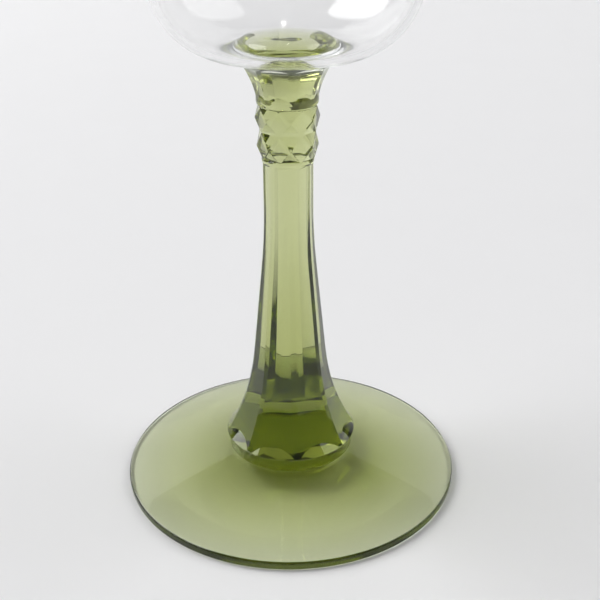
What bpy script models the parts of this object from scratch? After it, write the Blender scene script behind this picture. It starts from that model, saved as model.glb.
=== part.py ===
"""A wine glass of three pieces of glass: a foot, a cut and moulded stem, and a clear bowl.

The glass stands on z = 0 with its axis on the Z axis. All sizes are in metres.
"""

import math

import bmesh
import bpy
from mathutils import Matrix

# Foot: a disc with a low cone on top
FOOT_RADIUS = 0.035
FOOT_EDGE_HEIGHT = 0.0018
FOOT_EDGE_ROUND = 0.0005
FOOT_SEAT_HEIGHT = 0.0068
FOOT_RECESS_RADIUS = 0.0275
FOOT_RECESS_DEPTH = 0.0005
# The cone is a little hollow: shares of its run where it is divided, and the power of its curve
FOOT_SLOPE_SHARES = (0.03, 0.10, 0.25, 0.50, 0.75)
FOOT_SLOPE_POWER = 1.12
# The recess under the foot, as shares of its radius and of its depth
FOOT_RECESS_SHAPE = ((1.0, 0.0), (0.8, 0.7), (0.4, 1.0), (0.0, 1.0))

# Every joint between two pieces is drawn as this gap
FIT_GAP = 0.0003

# Collar at the bottom of the stem, which sits on the foot
COLLAR_BASE_RADIUS = 0.0131
COLLAR_HEIGHT = 0.0026
RIDGE_RADIUS = 0.0136
SHOULDER_ANGLE = math.radians(44)

# Panelled column: a straight neck, a slow taper and a curved bell
BELL_HEIGHT = 0.0204
BELL_TOP_RADIUS = 0.0072
COLUMN_HEIGHT = 0.0380
NECK_RADIUS = 0.0048
NECK_HEIGHT = 0.0080
BLEND_HEIGHT = 0.0120
BELL_CURVE_POWER = 2.5

# Panels round the stem, with a narrow strip left between two panels
PANEL_COUNT = 8
STRIP_WIDTH = 0.0011
FIRST_STRIP_ANGLE = math.radians(5.5)

# Knop between column and flare: a bead, two rows of points and a ring
LOWER_BEAD_RADIUS = 0.0050
LOWER_BEAD_HEIGHT = 0.0015
POINT_ROW_HEIGHTS = (0.0052, 0.0047)
POINT_TIP_RADII = (0.00588, 0.00615)
POINT_TIP_SHARE = (0.44, 0.52)
BARREL_CORNER_RADII = (0.00520, 0.00548, 0.00575)
RING_RADIUS = 0.00587
RING_HEIGHT = 0.0025
# Where the ring's round outline is divided, as shares of its half height
RING_SHARES = (0.9, 0.55, 0.0, -0.55, -0.9, -1.0)
# The lower bead, as shares of its height and how far in from its radius
LOWER_BEAD_SHAPE = ((0.0, 0.00015), (0.3, 0.0), (0.6, 0.00012), (1.1, 0.0007))

# Flare that carries the bowl
FLARE_HEIGHT = 0.0052
FLARE_NECK_RADIUS = 0.00600
FLARE_RIM_RADIUS = 0.00860
FLARE_CURVE = 0.45
FLARE_RIM_BAND = 0.0007

# Bowl: arcs for the base, the turn into the wall, and the wall
BOWL_BASE_ARC = 0.054
BOWL_BASE_ANGLE = math.radians(15)
BOWL_SIDE_ARC = 0.0142
BOWL_SIDE_ANGLE = math.radians(79)
BOWL_WALL_ARC = 0.088
BOWL_DEPTH = 0.0505
BOWL_WALL = 0.0013

# Mound of solid glass in the bottom of the bowl, over the stem
MOUND_HEIGHT = 0.0055
MOUND_DOME = 0.040
MOUND_RADIUS = 0.0110
MOUND_EDGE = 0.0060
MOUND_FOOT = 0.0060

# How finely the round shapes are divided
FOOT_STEPS = 72
STEM_STEPS = 72
BOWL_STEPS = 60
SHARP_ANGLE = math.radians(9)
OVERLAP = 0.0010
SMALL_OVERLAP = 0.0004
CUTTER_REACH = 0.030

GREEN_GLASS = (0.42, 0.55, 0.16, 1.0)
CLEAR_GLASS = (0.95, 0.96, 0.97, 1.0)

# Heights worked out from the sizes above
STEM_BOTTOM = FOOT_SEAT_HEIGHT + FIT_GAP
RIDGE_HEIGHT = STEM_BOTTOM + COLLAR_HEIGHT
BELL_TOP = RIDGE_HEIGHT + BELL_HEIGHT
COLUMN_TOP = BELL_TOP + COLUMN_HEIGHT
NECK_BOTTOM = COLUMN_TOP - NECK_HEIGHT
ROWS_BOTTOM = COLUMN_TOP + LOWER_BEAD_HEIGHT
ROWS_TOP = ROWS_BOTTOM + sum(POINT_ROW_HEIGHTS)
FLARE_BOTTOM = ROWS_TOP + RING_HEIGHT
FLARE_TOP = FLARE_BOTTOM + FLARE_HEIGHT


def arc(centre, radius, start, end, count):
    """Points (r, z) on an arc; an angle of 0 points outwards and grows upwards."""
    angles = [start + (end - start) * i / count for i in range(count + 1)]
    return [(centre[0] + radius * math.cos(a), centre[1] + radius * math.sin(a)) for a in angles]


def bowl_bottom_height():
    """Where the bowl's outside crosses the axis, so that it clears the flare's rim by the gap."""
    rise_to_rim = BOWL_BASE_ARC - math.sqrt(BOWL_BASE_ARC**2 - FLARE_RIM_RADIUS**2)
    return FLARE_TOP + FIT_GAP - rise_to_rim


def bowl_arcs():
    """The centres of the bowl's outer base, side and wall arcs."""
    base = (0.0, bowl_bottom_height() + BOWL_BASE_ARC)
    step = BOWL_BASE_ARC - BOWL_SIDE_ARC
    side = (base[0] + step * math.sin(BOWL_BASE_ANGLE), base[1] - step * math.cos(BOWL_BASE_ANGLE))
    step = BOWL_WALL_ARC - BOWL_SIDE_ARC
    wall = (side[0] - step * math.sin(BOWL_SIDE_ANGLE), side[1] + step * math.cos(BOWL_SIDE_ANGLE))
    return base, side, wall


def tangent_centre(first, first_reach, second, second_reach):
    """The point at these distances from two centres, on the outer side of the line between them."""
    across, up = second[0] - first[0], second[1] - first[1]
    apart = math.hypot(across, up)
    along = (apart**2 + first_reach**2 - second_reach**2) / (2 * apart)
    aside = math.sqrt(first_reach**2 - along**2)
    return (first[0] + (across * along + up * aside) / apart, first[1] + (up * along - across * aside) / apart)


def direction(centre, point):
    return math.atan2(point[1] - centre[1], point[0] - centre[0])


def bowl_profile():
    """Outside from the rim to the axis, then the mound, the floor and the wall, and the rim."""
    base, side, wall = bowl_arcs()
    base_end, side_end = BOWL_BASE_ANGLE - math.pi / 2, BOWL_SIDE_ANGLE - math.pi / 2
    half_wall = BOWL_WALL / 2
    top = bowl_bottom_height() + BOWL_DEPTH - half_wall
    outer = arc(wall, BOWL_WALL_ARC, math.asin((top - wall[1]) / BOWL_WALL_ARC), side_end, 8)
    outer += arc(side, BOWL_SIDE_ARC, side_end, base_end, 7)[1:]
    outer += arc(base, BOWL_BASE_ARC, base_end, -math.pi / 2, 5)[1:]

    inner_base = BOWL_BASE_ARC - BOWL_WALL
    inner_side = BOWL_SIDE_ARC - BOWL_WALL
    inner_wall = BOWL_WALL_ARC - BOWL_WALL
    dome = (0.0, bowl_bottom_height() + MOUND_HEIGHT - MOUND_DOME)
    dome_end = math.acos((MOUND_RADIUS - MOUND_EDGE) / (MOUND_DOME - MOUND_EDGE))
    edge = (MOUND_RADIUS - MOUND_EDGE, dome[1] + (MOUND_DOME - MOUND_EDGE) * math.sin(dome_end))
    foot = tangent_centre(edge, MOUND_EDGE + MOUND_FOOT, base, inner_base - MOUND_FOOT)
    edge_end, foot_end = direction(edge, foot), direction(base, foot)
    inner = arc(dome, MOUND_DOME, math.pi / 2, dome_end, 3)
    inner += arc(edge, MOUND_EDGE, dome_end, edge_end, 4)[1:]
    inner += arc(foot, MOUND_FOOT, edge_end - math.pi, foot_end, 4)[1:]
    inner += arc(base, inner_base, foot_end, base_end, 2)[1:]
    inner += arc(side, inner_side, base_end, side_end, 7)[1:]
    inner += arc(wall, inner_wall, side_end, math.asin((top - wall[1]) / inner_wall), 8)[1:]
    middle = ((outer[0][0] + inner[-1][0]) / 2, top)
    rim = arc(middle, half_wall, math.pi, 0.0, 4)[1:-1]
    return outer + inner + rim


def strip_radius(height):
    """Outer radius of the column's strips at a height."""
    taper = (BELL_TOP_RADIUS - NECK_RADIUS) / (NECK_BOTTOM - BELL_TOP - BLEND_HEIGHT / 2)
    if height >= NECK_BOTTOM:
        return NECK_RADIUS
    if height >= NECK_BOTTOM - BLEND_HEIGHT:
        return NECK_RADIUS + taper * (NECK_BOTTOM - height)**2 / (2 * BLEND_HEIGHT)
    if height >= BELL_TOP:
        return BELL_TOP_RADIUS - taper * (height - BELL_TOP)
    below = BELL_TOP - height
    flare = RIDGE_RADIUS - FIT_GAP / 6 - BELL_TOP_RADIUS - taper * BELL_HEIGHT
    return BELL_TOP_RADIUS + taper * below + flare * (below / BELL_HEIGHT)**BELL_CURVE_POWER


def flare_radius(height):
    """Outer radius of the flare's strips at a height."""
    up = (height - FLARE_BOTTOM) / FLARE_HEIGHT
    return FLARE_NECK_RADIUS + (FLARE_RIM_RADIUS - FLARE_NECK_RADIUS) * (up + FLARE_CURVE * up * (up - 1))


def panel_distance(radius):
    """How far a panel's face lies from the axis where the strips have this radius."""
    half_strip = math.asin(STRIP_WIDTH / 2 / radius)
    return radius * math.cos(math.pi / PANEL_COUNT - half_strip)


def spaced(low, high, count):
    """Evenly spaced heights, both ends included."""
    return [low + (high - low) * i / count for i in range(count + 1)]


def glass_material(name, colour):
    material = bpy.data.materials.new(name)
    material.use_nodes = True
    shader = material.node_tree.nodes["Principled BSDF"]
    shader.inputs["Base Color"].default_value = colour
    shader.inputs["Roughness"].default_value = 0.02
    shader.inputs["Metallic"].default_value = 0.0
    shader.inputs["Transmission Weight"].default_value = 0.9
    return material


def new_object(name, mesh, collection, helper):
    obj = bpy.data.objects.new(name, mesh)
    collection.objects.link(obj)
    if helper:
        obj.hide_render = True
        obj.display_type = "WIRE"
    return obj


def turned(name, profile, steps, collection, helper=True):
    """A body turned from (r, z) points that run down its outer side; the mesh is made final."""
    wire = bpy.data.meshes.new(name)
    points = [(r, 0.0, z) for r, z in profile]
    wire.from_pydata(points, [(i, i + 1) for i in range(len(points) - 1)], [])
    obj = new_object(name, wire, collection, helper)
    screw = obj.modifiers.new("turn", "SCREW")
    screw.steps = steps
    screw.render_steps = steps
    screw.use_merge_vertices = True
    screw.merge_threshold = 1e-6
    finish(obj)
    return obj


def finish(obj):
    """Replaces the object's mesh by what its modifiers make of it."""
    bpy.context.view_layer.update()
    graph = bpy.context.evaluated_depsgraph_get()
    mesh = bpy.data.meshes.new_from_object(obj.evaluated_get(graph))
    old = obj.data
    obj.modifiers.clear()
    obj.data = mesh
    bpy.data.meshes.remove(old)


def cut(obj, tool, operation):
    boolean = obj.modifiers.new(tool.name, "BOOLEAN")
    boolean.object = tool
    boolean.operation = operation
    boolean.solver = "EXACT"


def outline_cutter(name, outline, angle, cutters):
    """A flat (r, z) outline made thick across the radius and turned to an angle round the axis."""
    curve = bpy.data.curves.new(name, "CURVE")
    curve.dimensions = "2D"
    curve.fill_mode = "BOTH"
    curve.extrude = CUTTER_REACH / 2
    spline = curve.splines.new("POLY")
    spline.points.add(len(outline) - 1)
    for point, (r, z) in zip(spline.points, outline):
        point.co = (r, z, 0.0, 1.0)
    spline.use_cyclic_u = True
    guide = new_object(name + "_outline", curve, cutters, True)
    guide.matrix_world = Matrix.Rotation(angle, 4, "Z") @ Matrix.Rotation(math.pi / 2, 4, "X")
    bpy.context.view_layer.update()
    mesh = bpy.data.meshes.new_from_object(guide.evaluated_get(bpy.context.evaluated_depsgraph_get()))
    shape = bmesh.new()
    shape.from_mesh(mesh)
    bmesh.ops.remove_doubles(shape, verts=shape.verts, dist=1e-6)
    bmesh.ops.recalc_face_normals(shape, faces=shape.faces)
    shape.to_mesh(mesh)
    shape.free()
    cutter = new_object(name, mesh, cutters, True)
    cutter.matrix_world = guide.matrix_world
    bpy.data.objects.remove(guide)
    return cutter


def cut_panels(obj, radius_at, heights, run_out, cutters):
    """Cuts the flat panels round a turned body whose strips follow radius_at; they run out at the end."""
    outline = [(panel_distance(radius_at(z)), z) for z in heights]
    outline += [(CUTTER_REACH, heights[-1] + run_out), (CUTTER_REACH, heights[0])]
    for index in range(PANEL_COUNT):
        angle = panel_angle(index + 0.5)
        cut(obj, outline_cutter(f"{obj.name}_panel_{index + 1}", outline, angle, cutters), "DIFFERENCE")
    finish(obj)


def panel_angle(index):
    """Angle round the axis of a strip, or half-way to the next one for a panel; strip 0 faces -Y."""
    return FIRST_STRIP_ANGLE - math.pi / 2 + index * 2 * math.pi / PANEL_COUNT


def make_foot(parts):
    slope_start = FOOT_RADIUS - FOOT_EDGE_ROUND
    seat = COLLAR_BASE_RADIUS + FIT_GAP
    profile = [(0.0, FOOT_SEAT_HEIGHT), (seat, FOOT_SEAT_HEIGHT)]
    rise = FOOT_SEAT_HEIGHT - FOOT_EDGE_HEIGHT
    for share in FOOT_SLOPE_SHARES:
        height = FOOT_EDGE_HEIGHT + rise * (1 - share)**FOOT_SLOPE_POWER
        profile.append((seat + (slope_start - seat) * share, height))
    top_round = (slope_start, FOOT_EDGE_HEIGHT - FOOT_EDGE_ROUND)
    profile += arc(top_round, FOOT_EDGE_ROUND, math.pi / 2, 0.0, 4)
    profile += arc((slope_start, FOOT_EDGE_ROUND), FOOT_EDGE_ROUND, 0.0, -math.pi / 2, 4)
    profile += [(FOOT_RECESS_RADIUS * out, FOOT_RECESS_DEPTH * up) for out, up in FOOT_RECESS_SHAPE]
    foot = turned("foot", profile, FOOT_STEPS, parts, helper=False)
    foot.data.materials.append(glass_material("foot_green_glass", GREEN_GLASS))
    return foot


def make_column(cutters):
    bottom = RIDGE_HEIGHT
    heights = spaced(bottom, BELL_TOP, 12) + spaced(BELL_TOP, NECK_BOTTOM, 8)[1:] + [COLUMN_TOP + OVERLAP]
    profile = [(0.0, heights[-1])]
    profile += [(strip_radius(z), z) for z in reversed(heights)]
    profile += [(strip_radius(bottom) - OVERLAP, bottom - OVERLAP), (0.0, bottom - OVERLAP)]
    column = turned("column_body", profile, STEM_STEPS, cutters)
    reach = [bottom - 2 * OVERLAP] + heights + [heights[-1] + OVERLAP]
    cut_panels(column, strip_radius, reach, 0.0, cutters)
    return column


def make_flare(cutters):
    """The flare, dished on top to follow the underside of the bowl."""
    bottom = FLARE_BOTTOM - OVERLAP
    heights = spaced(bottom, FLARE_TOP, 7)
    dish = BOWL_BASE_ARC + FIT_GAP
    dish_centre = FLARE_TOP + math.sqrt(dish**2 - FLARE_RIM_RADIUS**2)
    inward = [FLARE_RIM_RADIUS * share for share in (0.0, 0.35, 0.7)]
    profile = [(r, dish_centre - math.sqrt(dish**2 - r**2)) for r in inward]
    profile += [(flare_radius(z), z) for z in reversed(heights)]
    profile.append((0.0, bottom))
    flare = turned("flare_body", profile, STEM_STEPS, cutters)
    reach = [bottom - OVERLAP] + spaced(bottom, FLARE_TOP - FLARE_RIM_BAND, 7)
    cut_panels(flare, flare_radius, reach, CUTTER_REACH / 2, cutters)
    return flare


def make_collar(cutters):
    """Collar and conical shoulder, which the panels run into."""
    rise = RIDGE_RADIUS - NECK_RADIUS
    shoulder_top = RIDGE_HEIGHT + rise * math.tan(SHOULDER_ANGLE)
    profile = [(0.0, shoulder_top), (NECK_RADIUS, shoulder_top), (RIDGE_RADIUS, RIDGE_HEIGHT),
               (COLLAR_BASE_RADIUS, STEM_BOTTOM), (0.0, STEM_BOTTOM)]
    return turned("collar_body", profile, STEM_STEPS, cutters)


def make_knop(cutters):
    """Lower bead, core and ring in one turned body."""
    bottom, middle, top = BARREL_CORNER_RADII
    core = bottom * math.cos(math.pi / PANEL_COUNT) - SMALL_OVERLAP
    profile = [(0.0, FLARE_BOTTOM + SMALL_OVERLAP), (core, FLARE_BOTTOM + SMALL_OVERLAP)]
    half = RING_HEIGHT / 2
    bulge = RING_RADIUS - middle
    for share in RING_SHARES:
        radius = middle + bulge * math.sqrt(1 - share**2)
        profile.append((radius, ROWS_TOP + half + half * share))
    profile.append((core, ROWS_TOP - SMALL_OVERLAP))
    profile.append((core, ROWS_BOTTOM + SMALL_OVERLAP))
    for share, inset in LOWER_BEAD_SHAPE:
        profile.append((LOWER_BEAD_RADIUS - inset, ROWS_BOTTOM - LOWER_BEAD_HEIGHT * share))
    profile.append((0.0, profile[-1][1]))
    return turned("knop_body", profile, STEM_STEPS, cutters)


def make_points(cutters):
    """Two rows of points: an eight-sided barrel, each of its side faces raised to a point."""
    rows = bmesh.new()
    height = ROWS_TOP - ROWS_BOTTOM
    bmesh.ops.create_cone(rows, cap_ends=True, segments=PANEL_COUNT, radius1=1.0, radius2=1.0, depth=height)
    turn = Matrix.Rotation(panel_angle(0.5), 4, "Z")
    rows.transform(Matrix.Translation((0, 0, ROWS_BOTTOM + height / 2)) @ turn)
    levels = (ROWS_BOTTOM, ROWS_BOTTOM + POINT_ROW_HEIGHTS[0], ROWS_TOP)
    bmesh.ops.bisect_plane(rows, geom=rows.faces[:] + rows.edges[:] + rows.verts[:], plane_co=(0, 0, levels[1]),
                           plane_no=(0, 0, 1))
    for vert in rows.verts:
        radius = BARREL_CORNER_RADII[min(range(3), key=lambda i: abs(levels[i] - vert.co.z))]
        vert.co.xy = vert.co.xy.normalized() * radius
    sides = [face for face in rows.faces if abs(face.normal.z) < 0.9]
    tips = bmesh.ops.poke(rows, faces=sides)["verts"]
    for tip in tips:
        row = 0 if tip.co.z < levels[1] else 1
        tip.co.xy = tip.co.xy.normalized() * POINT_TIP_RADII[row]
        tip.co.z = levels[row] + POINT_ROW_HEIGHTS[row] * POINT_TIP_SHARE[row]
    bmesh.ops.recalc_face_normals(rows, faces=rows.faces)
    mesh = bpy.data.meshes.new("points_body")
    rows.to_mesh(mesh)
    rows.free()
    return new_object("points_body", mesh, cutters, True)


def make_stem(parts, cutters):
    stem = make_column(cutters)
    for piece in (make_collar(cutters), make_knop(cutters), make_points(cutters), make_flare(cutters)):
        cut(stem, piece, "UNION")
        finish(stem)
    cutters.objects.unlink(stem)
    parts.objects.link(stem)
    stem.name = "stem"
    stem.hide_render = False
    stem.display_type = "TEXTURED"
    stem.data.materials.clear()
    stem.data.materials.append(glass_material("stem_green_glass", GREEN_GLASS))
    return stem


def make_bowl(parts):
    profile = [(max(r, 0.0), z) if r > 1e-9 else (0.0, z) for r, z in bowl_profile()]
    bowl = turned("bowl", profile + [profile[0]], BOWL_STEPS, parts, helper=False)
    bowl.data.materials.append(glass_material("bowl_clear_glass", CLEAR_GLASS))
    return bowl


def main():
    for obj in list(bpy.data.objects):
        bpy.data.objects.remove(obj, do_unlink=True)
    parts = bpy.data.collections.new("wine_glass")
    cutters = bpy.data.collections.new("cutters")
    bpy.context.scene.collection.children.link(parts)
    bpy.context.scene.collection.children.link(cutters)
    pieces = [make_foot(parts), make_stem(parts, cutters), make_bowl(parts)]
    for piece in pieces:
        piece.data.shade_smooth()
        piece.data.set_sharp_from_angle(angle=SHARP_ANGLE)


main()
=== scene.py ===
"""Looks for a wine glass: a clear bowl fused to a green stem, which is fused to a green foot.

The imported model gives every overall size. Each piece of glass is modelled again here with finer
curves and with fused joints, and stands for the CAD node of the same name. Sizes are in metres.
"""

import math

import bpy
from bpy.props import FloatProperty, FloatVectorProperty, IntProperty, PointerProperty
from mathutils import Matrix, Vector


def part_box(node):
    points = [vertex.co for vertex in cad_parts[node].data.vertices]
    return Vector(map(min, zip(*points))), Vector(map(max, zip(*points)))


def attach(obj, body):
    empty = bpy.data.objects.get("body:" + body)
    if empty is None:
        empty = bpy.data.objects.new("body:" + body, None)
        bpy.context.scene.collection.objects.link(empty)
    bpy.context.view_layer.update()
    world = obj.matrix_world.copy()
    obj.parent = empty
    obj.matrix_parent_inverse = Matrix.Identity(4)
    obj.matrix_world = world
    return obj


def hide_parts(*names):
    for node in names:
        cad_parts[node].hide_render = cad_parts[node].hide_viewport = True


bl_info = {
    "name": "Wine glass",
    "version": (1, 0, 0),
    "blender": (4, 5, 0),
    "location": "View3D > Sidebar > Wine glass",
    "description": "Models and finishes a wine glass with a panelled green stem",
    "category": "Add Mesh",
}

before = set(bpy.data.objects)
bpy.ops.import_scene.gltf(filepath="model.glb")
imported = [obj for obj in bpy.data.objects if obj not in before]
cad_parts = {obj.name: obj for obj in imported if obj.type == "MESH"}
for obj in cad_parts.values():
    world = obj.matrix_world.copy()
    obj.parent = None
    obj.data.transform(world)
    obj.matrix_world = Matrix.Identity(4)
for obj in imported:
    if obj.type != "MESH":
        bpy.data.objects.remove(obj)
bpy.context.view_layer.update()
FOOT_LOW, FOOT_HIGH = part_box("foot")
STEM_LOW, STEM_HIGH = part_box("stem")
BOWL_LOW, BOWL_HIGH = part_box("bowl")

QUARTER = math.pi / 2
FULL = 2 * math.pi
MERGE = 2e-6
# The width of the gap that stands for a fused joint; light crosses it without bending
FUSED_GAP = 0.00002


class GlassSizes(bpy.types.PropertyGroup):
    bowl_base_arc: FloatProperty(name="Bowl base arc", description="Radius of the bowl's outer base curve",
                                 default=0.054, unit="LENGTH", precision=5)
    bowl_base_angle: FloatProperty(name="Bowl base angle", description="Where the base curve meets the turn",
                                   default=math.radians(15), subtype="ANGLE")
    bowl_side_arc: FloatProperty(name="Bowl side arc", description="Radius of the turn into the wall",
                                 default=0.0142, unit="LENGTH", precision=5)
    bowl_side_angle: FloatProperty(name="Bowl side angle", description="Where the turn meets the wall",
                                   default=math.radians(79), subtype="ANGLE")
    bowl_wall_arc: FloatProperty(name="Bowl wall arc", description="Radius of the wall's long curve",
                                 default=0.088, unit="LENGTH", precision=5)
    bowl_wall: FloatProperty(name="Bowl wall", description="Thickness of the bowl's wall",
                             default=0.0013, unit="LENGTH", precision=5)
    mound_height: FloatProperty(name="Mound height", description="Solid glass over the stem",
                                default=0.0055, unit="LENGTH", precision=5)
    mound_dome: FloatProperty(name="Mound dome", description="Radius of the low dome on top of the mound",
                              default=0.040, unit="LENGTH", precision=5)
    mound_radius: FloatProperty(name="Mound radius", description="From the axis to the mound's side",
                                default=0.0110, unit="LENGTH", precision=5)
    mound_edge: FloatProperty(name="Mound edge", description="Radius where the dome rounds over",
                              default=0.0060, unit="LENGTH", precision=5)
    mound_foot: FloatProperty(name="Mound foot", description="Hollow radius where the mound meets the floor",
                              default=0.0060, unit="LENGTH", precision=5)
    collar_height: FloatProperty(name="Collar height", description="From the foot to the collar's ridge",
                                 default=0.0026, unit="LENGTH", precision=5)
    shoulder_angle: FloatProperty(name="Shoulder angle", description="Slope of the shoulder above the ridge",
                                  default=math.radians(44), subtype="ANGLE")
    bell_height: FloatProperty(name="Bell height", description="From the ridge to the straight column",
                               default=0.0204, unit="LENGTH", precision=5)
    bell_top_radius: FloatProperty(name="Bell top radius", description="Radius where bell and column meet",
                                   default=0.0072, unit="LENGTH", precision=5)
    column_height: FloatProperty(name="Column height", description="From the bell to the knop",
                                 default=0.0380, unit="LENGTH", precision=5)
    neck_radius: FloatProperty(name="Neck radius", description="Radius of the column under the knop",
                               default=0.0048, unit="LENGTH", precision=5)
    lower_bead_height: FloatProperty(name="Lower bead height", description="Bead between column and points",
                                     default=0.0015, unit="LENGTH", precision=5)
    lower_row_height: FloatProperty(name="Lower row height", description="Height of the lower row of points",
                                    default=0.0052, unit="LENGTH", precision=5)
    upper_row_height: FloatProperty(name="Upper row height", description="Height of the upper row of points",
                                    default=0.0047, unit="LENGTH", precision=5)
    ring_height: FloatProperty(name="Ring height", description="Bead between the points and the flare",
                               default=0.0025, unit="LENGTH", precision=5)
    flare_height: FloatProperty(name="Flare height", description="From the ring to the bowl",
                                default=0.0052, unit="LENGTH", precision=5)
    strip_width: FloatProperty(name="Strip width", description="Width of the strip between two panels",
                               default=0.0011, unit="LENGTH", precision=5)
    first_strip: FloatProperty(name="First strip", description="Angle of the front strip round the axis",
                               default=math.radians(5.5), subtype="ANGLE")
    panels: IntProperty(name="Panels", description="Flat panels round the stem", default=8, min=3, max=16)
    steps: IntProperty(name="Steps", description="Divisions of a full turn", default=144, min=24, max=288)


class GlassColours(bpy.types.PropertyGroup):
    clear_absorbs: FloatVectorProperty(name="Clear glass absorbs", description="Light lost per metre of clear glass",
                                       default=(3.2, 2.6, 2.8), size=3)
    green_absorbs: FloatVectorProperty(name="Green glass absorbs", description="Light lost per metre of green glass",
                                       default=(46.0, 41.0, 106.0), size=3)
    clear_tint: FloatVectorProperty(name="Clear tint", description="Surface tint of the clear glass",
                                    default=(0.995, 0.995, 0.995), subtype="COLOR", size=3)
    green_tint: FloatVectorProperty(name="Green tint", description="Surface tint of the green glass",
                                    default=(0.97, 0.99, 0.93), subtype="COLOR", size=3)
    floor: FloatVectorProperty(name="Floor", description="Colour of the floor",
                               default=(0.80, 0.80, 0.81), subtype="COLOR", size=3)


class StageSettings(bpy.types.PropertyGroup):
    lens: FloatProperty(name="Lens", description="Focal length of the camera in millimetres", default=57.0)
    eye: FloatVectorProperty(name="Eye", description="Where the camera stands", default=(0.0, -0.17325, 0.12296),
                             subtype="TRANSLATION", size=3)
    pitch: FloatProperty(name="Pitch", description="How far the camera looks down", default=math.radians(25.75),
                         subtype="ANGLE")
    yaw: FloatProperty(name="Yaw", description="How far the camera looks to the right", default=math.radians(0.71),
                       subtype="ANGLE")
    roll: FloatProperty(name="Roll", description="Roll of the camera", default=math.radians(-0.28), subtype="ANGLE")
    left_power: FloatProperty(name="Left light", description="Power of the left softbox", default=92.0)
    right_power: FloatProperty(name="Right light", description="Power of the right softbox", default=40.0)
    world: FloatProperty(name="Surroundings", description="Brightness of the room", default=0.15)


# Modelling helpers


def deselect_all():
    if bpy.context.object and bpy.context.object.mode != "OBJECT":
        bpy.ops.object.mode_set(mode="OBJECT")
    bpy.ops.object.select_all(action="DESELECT")


def only(piece):
    """Makes this the one selected object."""
    deselect_all()
    piece.select_set(True)
    bpy.context.view_layer.objects.active = piece


def edit(piece):
    only(piece)
    bpy.ops.object.mode_set(mode="EDIT")
    bpy.ops.mesh.select_mode(type="VERT")
    bpy.ops.mesh.select_all(action="SELECT")


def leave_edit():
    bpy.ops.object.mode_set(mode="OBJECT")


def arc(centre, radius, start, end, count):
    """Points (r, z) on an arc; an angle of 0 points outwards and grows upwards."""
    angles = [start + (end - start) * i / count for i in range(count + 1)]
    return [(centre[0] + radius * math.cos(a), centre[1] + radius * math.sin(a)) for a in angles]


def spaced(low, high, count):
    return [low + (high - low) * i / count for i in range(count + 1)]


def draw_line(name, points):
    """A small plane is merged to one point, which is extruded from point to point."""
    deselect_all()
    bpy.ops.mesh.primitive_plane_add(size=0.001, location=points[0])
    piece = bpy.context.object
    piece.name = name
    bpy.ops.object.transform_apply(location=True, rotation=True, scale=True)
    edit(piece)
    bpy.ops.mesh.merge(type="CENTER")
    for here, there in zip(points, points[1:]):
        step = Vector(there) - Vector(here)
        bpy.ops.mesh.extrude_vertices_move(TRANSFORM_OT_translate={"value": step})
    leave_edit()
    return piece


def tidy_mesh(piece):
    edit(piece)
    bpy.ops.mesh.remove_doubles(threshold=MERGE)
    bpy.ops.mesh.normals_make_consistent(inside=False)
    leave_edit()


def turned(name, profile, steps, first_angle=0.0):
    """A body spun round the Z axis from (r, z) points."""
    cos, sin = math.cos(first_angle), math.sin(first_angle)
    piece = draw_line(name, [(r * cos, r * sin, z) for r, z in profile])
    edit(piece)
    bpy.ops.mesh.spin(steps=steps, angle=FULL, center=(0, 0, 0), axis=(0, 0, 1))
    leave_edit()
    tidy_mesh(piece)
    return piece


def flat_cutter(name, outline, reach):
    """A closed (r, z) outline, filled and extruded across the radius."""
    piece = draw_line(name, [(r, -reach / 2, z) for r, z in outline + outline[:1]])
    edit(piece)
    bpy.ops.mesh.remove_doubles(threshold=MERGE)
    bpy.ops.mesh.select_all(action="SELECT")
    bpy.ops.mesh.edge_face_add()
    bpy.ops.mesh.extrude_region_move(TRANSFORM_OT_translate={"value": (0, reach, 0)})
    bpy.ops.mesh.select_all(action="SELECT")
    bpy.ops.mesh.normals_make_consistent(inside=False)
    leave_edit()
    return piece


def apply_modifier(piece, kind, **settings):
    only(piece)
    modifier = piece.modifiers.new(kind.lower(), kind)
    for key, value in settings.items():
        setattr(modifier, key, value)
    bpy.ops.object.modifier_apply(modifier=modifier.name)


def boolean(piece, tool, operation):
    """Cuts away or joins on another body, which is then gone."""
    apply_modifier(piece, "BOOLEAN", object=tool, operation=operation, solver="EXACT")
    bpy.data.objects.remove(tool, do_unlink=True)
    if not piece.data.polygons:
        raise RuntimeError(f"{piece.name} was lost in a boolean")


def cut_panels(piece, outline, sizes):
    """Cuts the same outline away at every panel."""
    cutter = flat_cutter("panel_cutter", outline, 0.03)
    for index in range(sizes.panels):
        only(cutter)
        bpy.ops.object.duplicate(linked=False)
        tool = bpy.context.object
        tool.rotation_euler = (0, 0, panel_angle(sizes, index + 0.5))
        bpy.context.view_layer.update()
        boolean(piece, tool, "DIFFERENCE")
    bpy.data.objects.remove(cutter, do_unlink=True)


def mark_joint(piece, is_joint):
    """Writes the attribute that the glass reads to let light straight through a fused face."""
    attribute = piece.data.attributes.new("fused", "FLOAT", "FACE")
    for face in piece.data.polygons:
        attribute.data[face.index].value = 1.0 if is_joint(face) else 0.0


def finish_piece(piece, material, node, sharp):
    only(piece)
    bpy.ops.object.shade_smooth_by_angle(angle=sharp)
    piece.data.materials.clear()
    piece.data.materials.append(material)
    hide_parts(node)
    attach(piece, "root")
    deselect_all()


# Shader helpers


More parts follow.
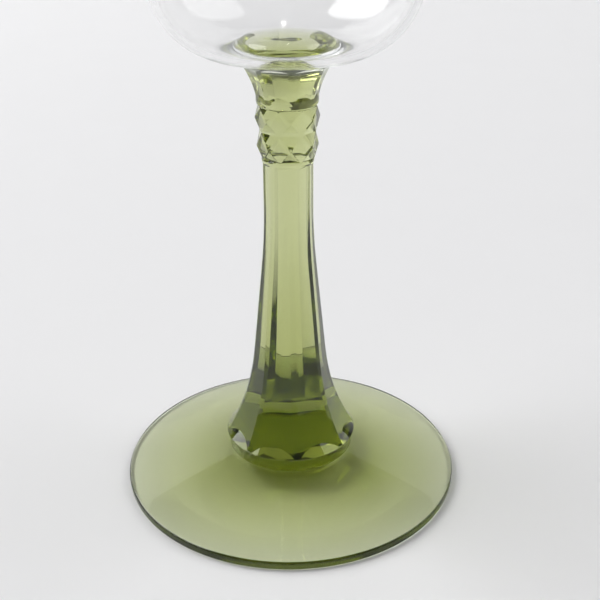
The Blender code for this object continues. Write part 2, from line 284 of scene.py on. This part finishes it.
class Maths:
    """Wraps a value socket, so that shader maths reads as Python."""

    def __init__(self, nodes, socket):
        self.nodes = nodes
        self.socket = socket

    def _make(self, operation, first, second):
        values = [value.socket if isinstance(value, Maths) else value for value in (first, second)]
        node = self.nodes.add("ShaderNodeMath", {"operation": operation}, dict(enumerate(values)))
        return Maths(self.nodes, node.outputs[0])

    def __add__(self, other):
        return self._make("ADD", self, other)

    def __radd__(self, other):
        return self._make("ADD", other, self)

    def __sub__(self, other):
        return self._make("SUBTRACT", self, other)

    def __rsub__(self, other):
        return self._make("SUBTRACT", other, self)

    def __mul__(self, other):
        return self._make("MULTIPLY", self, other)

    def __rmul__(self, other):
        return self._make("MULTIPLY", other, self)


class Nodes:
    """The node tree of one material."""

    def __init__(self, material):
        material.use_nodes = True
        self.tree = material.node_tree
        self.tree.nodes.clear()
        self.output = self.add("ShaderNodeOutputMaterial")

    def add(self, kind, settings=None, inputs=None):
        node = self.tree.nodes.new(kind)
        for key, value in (settings or {}).items():
            setattr(node, key, value)
        for key, value in (inputs or {}).items():
            value = value.socket if isinstance(value, Maths) else value
            if isinstance(value, bpy.types.NodeSocket):
                self.tree.links.new(value, node.inputs[key])
            else:
                node.inputs[key].default_value = value
        return node

    def place(self, scale=(1, 1, 1)):
        where = self.add("ShaderNodeTexCoord").outputs["Object"]
        return self.add("ShaderNodeMapping", inputs={"Vector": where, "Scale": scale}).outputs[0]

    def noise(self, scale, detail, stretch=(1, 1, 1)):
        inputs = {"Vector": self.place(stretch), "Scale": scale, "Detail": detail}
        return Maths(self, self.add("ShaderNodeTexNoise", inputs=inputs).outputs[0])

    def mix_colour(self, share, first, second):
        inputs = {0: share, 6: first, 7: second}
        return self.add("ShaderNodeMix", {"data_type": "RGBA"}, inputs).outputs[2]


def absorption(per_metre):
    """The colour and density of a volume that loses this much light per metre."""
    density = max(per_metre)
    return [1 - loss / density for loss in per_metre] + [1.0], density


def glass(name, tint, absorbs, wave_height, streak_height):
    """Polished glass: faint waves and drawn streaks on its surface, and colour in its depth."""
    material = bpy.data.materials.new(name)
    nodes = Nodes(material)
    waves = nodes.noise(160.0, 1.0) * wave_height
    streaks = nodes.noise(420.0, 2.0, (1.0, 1.0, 0.12)) * streak_height
    normal = nodes.add("ShaderNodeBump", inputs={"Height": waves + streaks, "Strength": 1.0, "Distance": 1.0})
    body = list(tint) + [1.0]
    worn = [channel * 0.97 for channel in tint] + [1.0]
    colour = nodes.mix_colour(nodes.noise(90.0, 3.0).socket, body, worn)
    surface = nodes.add("ShaderNodeBsdfPrincipled", inputs={
        "Base Color": colour, "Normal": normal.outputs[0], "Roughness": 0.0, "IOR": 1.52,
        "Transmission Weight": 1.0})
    through = nodes.add("ShaderNodeBsdfTransparent")
    fused = nodes.add("ShaderNodeAttribute", {"attribute_name": "fused"}).outputs["Fac"]
    mixed = nodes.add("ShaderNodeMixShader", inputs={0: fused, 1: surface.outputs[0], 2: through.outputs[0]})
    nodes.tree.links.new(mixed.outputs[0], nodes.output.inputs["Surface"])
    volume_colour, density = absorption(absorbs)
    volume = nodes.add("ShaderNodeVolumeAbsorption", inputs={"Color": volume_colour, "Density": density})
    nodes.tree.links.new(volume.outputs[0], nodes.output.inputs["Volume"])
    return material


# The shapes


def bowl_arcs(sizes):
    """Centres of the bowl's outer base, side and wall arcs."""
    base = (0.0, BOWL_LOW[2] + sizes.bowl_base_arc)
    step = sizes.bowl_base_arc - sizes.bowl_side_arc
    side = (step * math.sin(sizes.bowl_base_angle), base[1] - step * math.cos(sizes.bowl_base_angle))
    step = sizes.bowl_wall_arc - sizes.bowl_side_arc
    wall = (side[0] - step * math.sin(sizes.bowl_side_angle), side[1] + step * math.cos(sizes.bowl_side_angle))
    return base, side, wall


def tangent_centre(first, first_reach, second, second_reach):
    """The point at these distances from two centres, on the outer side of the line between them."""
    across, up = second[0] - first[0], second[1] - first[1]
    apart = math.hypot(across, up)
    along = (apart**2 + first_reach**2 - second_reach**2) / (2 * apart)
    aside = math.sqrt(first_reach**2 - along**2)
    return (first[0] + (across * along + up * aside) / apart, first[1] + (up * along - across * aside) / apart)


def direction(centre, point):
    return math.atan2(point[1] - centre[1], point[0] - centre[0])


def bowl_profile(sizes):
    """Outside from the axis up, over the rounded rim, down the wall and corner, and over the domed floor."""
    base, side, wall = bowl_arcs(sizes)
    half_wall = sizes.bowl_wall / 2
    top = BOWL_HIGH[2] - half_wall
    joint = math.asin(flare_rim_radius() / sizes.bowl_base_arc)
    angle_a, angle_b = sizes.bowl_base_angle - QUARTER, sizes.bowl_side_angle - QUARTER
    outer = arc(base, sizes.bowl_base_arc, -QUARTER, joint - QUARTER, 10)
    outer += arc(base, sizes.bowl_base_arc, joint - QUARTER, angle_a, 14)[1:]
    outer += arc(side, sizes.bowl_side_arc, angle_a, angle_b, 28)[1:]
    outer += arc(wall, sizes.bowl_wall_arc, angle_b, math.asin((top - wall[1]) / sizes.bowl_wall_arc), 30)[1:]

    inner_base = sizes.bowl_base_arc - sizes.bowl_wall
    inner_side = sizes.bowl_side_arc - sizes.bowl_wall
    inner_wall = sizes.bowl_wall_arc - sizes.bowl_wall
    reach = sizes.mound_dome - sizes.mound_edge
    dome = (0.0, BOWL_LOW[2] + sizes.mound_height - sizes.mound_dome)
    dome_end = math.acos((sizes.mound_radius - sizes.mound_edge) / reach)
    edge = (sizes.mound_radius - sizes.mound_edge, dome[1] + reach * math.sin(dome_end))
    foot = tangent_centre(edge, sizes.mound_edge + sizes.mound_foot, base, inner_base - sizes.mound_foot)
    edge_end, foot_end = direction(edge, foot), direction(base, foot)
    inner = arc(wall, inner_wall, math.asin((top - wall[1]) / inner_wall), angle_b, 30)
    inner += arc(side, inner_side, angle_b, angle_a, 28)[1:]
    inner += arc(base, inner_base, angle_a, foot_end, 8)[1:]
    inner += arc(foot, sizes.mound_foot, foot_end, edge_end - math.pi, 16)[1:]
    inner += arc(edge, sizes.mound_edge, edge_end, dome_end, 16)[1:]
    inner += arc(dome, sizes.mound_dome, dome_end, QUARTER, 16)[1:]
    middle = ((outer[-1][0] + inner[0][0]) / 2, top)
    rim = arc(middle, half_wall, 0.0, math.pi, 12)[1:-1]
    return [(max(r, 0.0), z) for r, z in outer + rim + inner]


def flare_rim_radius():
    return 0.0086


def panel_angle(sizes, index):
    """Angle round the axis of a strip, or half-way to the next for a panel; strip 0 faces -Y."""
    return sizes.first_strip - QUARTER + index * FULL / sizes.panels


def panel_distance(sizes, radius):
    half_strip = math.asin(sizes.strip_width / 2 / radius)
    return radius * math.cos(math.pi / sizes.panels - half_strip)


def ridge_height(sizes):
    return STEM_LOW[2] + sizes.collar_height


def strip_radius(sizes, height):
    """Outer radius of the column's strips at a height."""
    ridge = ridge_height(sizes)
    bell_top = ridge + sizes.bell_height
    neck_bottom = bell_top + sizes.column_height - 0.008
    blend = 0.012
    taper = (sizes.bell_top_radius - sizes.neck_radius) / (neck_bottom - bell_top - blend / 2)
    if height >= neck_bottom:
        return sizes.neck_radius
    if height >= neck_bottom - blend:
        return sizes.neck_radius + taper * (neck_bottom - height)**2 / (2 * blend)
    if height >= bell_top:
        return sizes.bell_top_radius - taper * (height - bell_top)
    below = bell_top - height
    flare = STEM_HIGH[0] - 0.00005 - sizes.bell_top_radius - taper * sizes.bell_height
    return sizes.bell_top_radius + taper * below + flare * (below / sizes.bell_height)**2.5


def make_column(sizes):
    ridge = ridge_height(sizes)
    bell_top = ridge + sizes.bell_height
    top = bell_top + sizes.column_height
    heights = spaced(ridge, bell_top, 32) + spaced(bell_top, top - 0.020, 8)[1:]
    heights += spaced(top - 0.020, top - 0.008, 10)[1:] + [top - 0.003, top + 0.001]
    profile = [(0.0, ridge - 0.001), (strip_radius(sizes, ridge) - 0.001, ridge - 0.001)]
    profile += [(strip_radius(sizes, z), z) for z in heights] + [(0.0, heights[-1])]
    column = turned("stem_glass", profile, sizes.steps, panel_angle(sizes, 0))
    reach = [ridge - 0.002] + heights + [heights[-1] + 0.001]
    outline = [(panel_distance(sizes, strip_radius(sizes, z)), z) for z in reach]
    cut_panels(column, outline + [(0.03, reach[-1]), (0.03, reach[0])], sizes)
    return column


def make_collar(sizes):
    """Collar and conical shoulder, which the panels run into."""
    ridge, radius = ridge_height(sizes), STEM_HIGH[0]
    bottom = FOOT_HIGH[2] + FUSED_GAP
    rise = (radius - sizes.neck_radius) * math.tan(sizes.shoulder_angle)
    profile = [(0.0, bottom), (radius - 0.0005, bottom), (radius - 0.00045, bottom + 0.0004),
               (radius - 0.0003, ridge - 0.0014), (radius - 0.0001, ridge - 0.0006), (radius, ridge - 0.00012),
               (radius - 0.00003, ridge + 0.00002), (sizes.neck_radius, ridge + rise), (0.0, ridge + rise)]
    return turned("collar", profile, sizes.steps, panel_angle(sizes, 0))


def rows_levels(sizes):
    """Heights of the bottom of the rows of points, between them, their top and the ring's top."""
    ring_top = STEM_HIGH[2] - sizes.flare_height
    rows_top = ring_top - sizes.ring_height
    middle = rows_top - sizes.upper_row_height
    return middle - sizes.lower_row_height, middle, rows_top, ring_top


def make_knop(sizes):
    """Lower bead, core and ring in one turned body."""
    bottom, _, rows_top, ring_top = rows_levels(sizes)
    core = 0.0044
    profile = [(0.0, ring_top + 0.0004), (core, ring_top + 0.0004)]
    profile += [(0.00548 + 0.00039 * math.sqrt(1 - s * s), (rows_top + ring_top) / 2 + sizes.ring_height / 2 * s)
                for s in (1.0, 0.95, 0.8, 0.55, 0.28, 0.0, -0.28, -0.55, -0.8, -0.95, -1.0)]
    profile += [(core, rows_top - 0.0004), (core, bottom + 0.0004)]
    for share, inset in ((0.0, 0.00022), (0.08, 0.0001), (0.2, 0.00002), (0.32, 0.0), (0.45, 0.00002),
                         (0.6, 0.0001), (0.75, 0.00025), (1.1, 0.0007)):
        profile.append((0.0050 - inset, bottom - sizes.lower_bead_height * share))
    profile.append((0.0, profile[-1][1]))
    return turned("knop", profile[::-1], sizes.steps, panel_angle(sizes, 0))


def make_points(sizes):
    """Two rows of points: an eight-sided barrel, each of its side faces poked and raised."""
    bottom, middle, top, _ = rows_levels(sizes)
    deselect_all()
    bpy.ops.mesh.primitive_cylinder_add(vertices=sizes.panels, radius=0.005, depth=top - bottom,
                                        location=(0, 0, (top + bottom) / 2))
    rows = bpy.context.object
    rows.rotation_euler = (0, 0, panel_angle(sizes, 0.5) + QUARTER)
    bpy.ops.object.transform_apply(location=True, rotation=True, scale=True)
    edit(rows)
    bpy.ops.mesh.bisect(plane_co=(0, 0, middle), plane_no=(0, 0, 1))
    leave_edit()
    levels, corners = (bottom, middle, top), (0.00520, 0.00548, 0.00575)
    for vertex in rows.data.vertices:
        radius = corners[min(range(3), key=lambda i: abs(levels[i] - vertex.co.z))]
        vertex.co.xy = vertex.co.xy.normalized() * radius
    for face in rows.data.polygons:
        face.select = abs(face.normal.z) < 0.9
    only(rows)
    bpy.ops.object.mode_set(mode="EDIT")
    bpy.ops.mesh.select_mode(type="FACE")
    bpy.ops.mesh.poke()
    leave_edit()
    first_tip = 3 * sizes.panels
    for vertex in rows.data.vertices[first_tip:]:
        upper = vertex.co.z > middle
        vertex.co.xy = vertex.co.xy.normalized() * (0.00615 if upper else 0.00588)
        vertex.co.z = middle + 0.52 * sizes.upper_row_height if upper else bottom + 0.44 * sizes.lower_row_height
    apply_modifier(rows, "BEVEL", width=0.00010, segments=2, limit_method="ANGLE", angle_limit=math.radians(12))
    return rows


def make_flare(sizes):
    """The flare, dished on top to follow the underside of the bowl."""
    rim = flare_rim_radius()
    bottom = rows_levels(sizes)[3]
    dish = sizes.bowl_base_arc + FUSED_GAP
    centre = BOWL_LOW[2] + sizes.bowl_base_arc
    top = centre - math.sqrt(dish**2 - rim**2)

    def radius_at(z):
        up = (z - bottom) / (top - bottom)
        return 0.0060 + (rim - 0.0060) * (up + 0.45 * up * (up - 1))

    heights = spaced(bottom - 0.001, top, 22)
    profile = [(0.0, heights[0])] + [(radius_at(z), z) for z in heights]
    profile += [(r, centre - math.sqrt(dish**2 - r * r)) for r in [rim * s / 8 for s in range(7, -1, -1)]]
    flare = turned("flare", profile, sizes.steps, panel_angle(sizes, 0))
    reach = [heights[0] - 0.001] + spaced(heights[0], top - 0.0007, 20)
    outline = [(panel_distance(sizes, radius_at(z)), z) for z in reach]
    cut_panels(flare, outline + [(0.03, reach[-1] + 0.015), (0.03, reach[0])], sizes)
    return flare


# Operators


class MakeFoot(bpy.types.Operator):
    """Turns the foot, a disc with a low cone on top and a ring underneath to stand on"""

    bl_idname = "wine_glass.make_foot"
    bl_label = "Foot"

    def execute(self, context):
        sizes, colours = context.scene.glass_sizes, context.scene.glass_colours
        radius, seat_height = FOOT_HIGH[0], FOOT_HIGH[2]
        edge, fillet = 0.0018, 0.0005
        seat = STEM_HIGH[0] - 0.0005
        slope = radius - fillet
        profile = [(0.0, seat_height), (seat, seat_height), (seat + 0.0003, seat_height - 0.00003)]
        for share in (0.02, 0.045, 0.08, 0.13, 0.2, 0.3, 0.4, 0.5, 0.6, 0.7, 0.8, 0.9):
            height = edge + (seat_height - edge) * (1 - share)**1.12
            profile.append((seat + 0.0003 + (slope - seat - 0.0003) * share, height))
        profile += arc((slope, edge - fillet), fillet, QUARTER, 0.0, 8)
        profile += arc((slope, fillet), fillet, 0.0, -QUARTER, 8)
        profile += [(0.0275, 0.0), (0.0268, 0.00004), (0.025, 0.00018), (0.021, 0.00034), (0.015, 0.00044),
                    (0.008, 0.0005), (0.0, 0.0005)]
        foot = turned("foot_glass", profile, sizes.steps)
        mark_joint(foot, lambda face: face.normal.z > 0.999 and face.center.xy.length < seat)
        material = glass("foot_glass", colours.green_tint, colours.green_absorbs, 3e-6, 2e-6)
        finish_piece(foot, material, "foot", math.radians(20))
        return {"FINISHED"}


class MakeStem(bpy.types.Operator):
    """Joins the panelled column, its collar, the knop with its rows of points, and the flare"""

    bl_idname = "wine_glass.make_stem"
    bl_label = "Stem"

    def execute(self, context):
        sizes, colours = context.scene.glass_sizes, context.scene.glass_colours
        stem = make_column(sizes)
        for part in (make_collar(sizes), make_knop(sizes), make_points(sizes), make_flare(sizes)):
            boolean(stem, part, "UNION")
        tidy_mesh(stem)
        low, high = FOOT_HIGH[2] + 0.0001, STEM_HIGH[2] - 0.0012

        def is_joint(face):
            if face.center.z < low:
                return face.normal.z < -0.9
            return face.center.z > high and face.normal.z > 0.9

        mark_joint(stem, is_joint)
        material = glass("stem_glass", colours.green_tint, colours.green_absorbs, 3e-6, 2e-6)
        finish_piece(stem, material, "stem", math.radians(9))
        return {"FINISHED"}


class MakeBowl(bpy.types.Operator):
    """Turns the clear bowl, with its thick base and rounded rim"""

    bl_idname = "wine_glass.make_bowl"
    bl_label = "Bowl"

    def execute(self, context):
        sizes, colours = context.scene.glass_sizes, context.scene.glass_colours
        bowl = turned("bowl_glass", bowl_profile(sizes), sizes.steps)
        joint_radius = flare_rim_radius()
        mark_joint(bowl, lambda face: face.normal.z < -0.9 and face.center.xy.length < joint_radius)
        material = glass("bowl_glass", colours.clear_tint, colours.clear_absorbs, 2e-6, 1e-6)
        finish_piece(bowl, material, "bowl", math.radians(30))
        return {"FINISHED"}


class MakeStage(bpy.types.Operator):
    """Adds the floor, the soft lights, the surroundings and the camera"""

    bl_idname = "wine_glass.make_stage"
    bl_label = "Stage"

    def execute(self, context):
        settings, colours = context.scene.stage_settings, context.scene.glass_colours
        self.add_floor(colours)
        self.add_light("left_softbox", (-2.2, 0.6, 2.0), 3.0, settings.left_power)
        self.add_light("right_softbox", (2.2, 0.6, 2.0), 3.0, settings.right_power)
        self.add_light("lamp", (0.02, 0.64, 1.33), 0.030, 0.20)
        self.set_world(context, settings.world)
        self.add_camera(context, settings)
        context.scene.view_settings.view_transform = "Standard"
        context.scene.cycles.max_bounces = 32
        context.scene.cycles.transmission_bounces = 32
        context.scene.cycles.glossy_bounces = 32
        context.scene.cycles.transparent_max_bounces = 32
        context.scene.cycles.blur_glossy = 0.0
        context.scene.cycles.sample_clamp_indirect = 0.0
        return {"FINISHED"}

    def add_floor(self, colours):
        """A wide floor that turns up into a backdrop behind the glass."""
        back, turn, height = 1.6, 0.6, 2.2
        deselect_all()
        bpy.ops.mesh.primitive_plane_add(size=1.0, location=(0, 0, -0.00005))
        floor = bpy.context.object
        floor.name = "floor"
        floor.dimensions = (6.0, 2 * back, 0)
        bpy.ops.object.transform_apply(location=True, rotation=True, scale=True)
        edit(floor)
        bpy.ops.mesh.select_all(action="DESELECT")
        leave_edit()
        for vertex in floor.data.vertices:
            vertex.select = vertex.co.y > 0
        bpy.ops.object.mode_set(mode="EDIT")
        bpy.ops.mesh.spin(steps=16, angle=-QUARTER, center=(0, back, turn), axis=(1, 0, 0))
        bpy.ops.mesh.extrude_region_move(TRANSFORM_OT_translate={"value": (0, 0, height - turn)})
        leave_edit()
        material = bpy.data.materials.new("floor")
        nodes = Nodes(material)
        light = list(colours.floor) + [1.0]
        shade = [channel * 0.985 for channel in colours.floor] + [1.0]
        colour = nodes.mix_colour(nodes.noise(30.0, 4.0).socket, light, shade)
        paper = nodes.add("ShaderNodeBsdfPrincipled", inputs={"Base Color": colour, "Roughness": 0.9})
        nodes.tree.links.new(paper.outputs[0], nodes.output.inputs["Surface"])
        floor.data.materials.append(material)
        only(floor)
        bpy.ops.object.shade_smooth()

    def add_light(self, name, place, size, power, target=(0, 0, 0.04)):
        bpy.ops.object.light_add(type="AREA", location=place)
        light = bpy.context.object
        light.name = name
        light.data.shape = "DISK"
        light.data.size = size
        light.data.energy = power
        light.rotation_euler = (Vector(target) - Vector(place)).to_track_quat("-Z", "Y").to_euler()

    def set_world(self, context, brightness):
        world = bpy.data.worlds.new("room")
        world.use_nodes = True
        background = world.node_tree.nodes["Background"]
        background.inputs["Color"].default_value = (1.0, 0.995, 0.985, 1.0)
        background.inputs["Strength"].default_value = brightness
        context.scene.world = world

    def add_camera(self, context, settings):
        deselect_all()
        bpy.ops.object.camera_add(location=settings.eye)
        camera = bpy.context.object
        camera.data.sensor_width = 36.0
        camera.data.lens = settings.lens
        camera.data.clip_start = 0.005
        camera.data.dof.use_dof = False
        look = Matrix.Rotation(-settings.yaw, 3, "Z") @ Matrix.Rotation(QUARTER - settings.pitch, 3, "X")
        turn = look @ Matrix.Rotation(settings.roll, 3, "Z")
        camera.rotation_euler = turn.to_euler()
        context.scene.camera = camera


class GlassPanel(bpy.types.Panel):
    """Lists the steps that build the glass"""

    bl_label = "Wine glass"
    bl_idname = "VIEW3D_PT_wine_glass"
    bl_space_type = "VIEW_3D"
    bl_region_type = "UI"
    bl_category = "Wine glass"

    def draw(self, context):
        for operator in (MakeFoot, MakeStem, MakeBowl, MakeStage):
            self.layout.operator(operator.bl_idname)
        for group in (context.scene.glass_sizes, context.scene.glass_colours, context.scene.stage_settings):
            box = self.layout.box()
            for name in group.__annotations__:
                box.prop(group, name)


CLASSES = (GlassSizes, GlassColours, StageSettings, MakeFoot, MakeStem, MakeBowl, MakeStage, GlassPanel)


def register():
    for cls in CLASSES:
        bpy.utils.register_class(cls)
    bpy.types.Scene.glass_sizes = PointerProperty(type=GlassSizes)
    bpy.types.Scene.glass_colours = PointerProperty(type=GlassColours)
    bpy.types.Scene.stage_settings = PointerProperty(type=StageSettings)


def unregister():
    del bpy.types.Scene.glass_sizes
    del bpy.types.Scene.glass_colours
    del bpy.types.Scene.stage_settings
    for cls in reversed(CLASSES):
        bpy.utils.unregister_class(cls)


def main():
    register()
    bpy.ops.wine_glass.make_foot()
    bpy.ops.wine_glass.make_stem()
    bpy.ops.wine_glass.make_bowl()
    bpy.ops.wine_glass.make_stage()


if __name__ == "__main__":
    main()
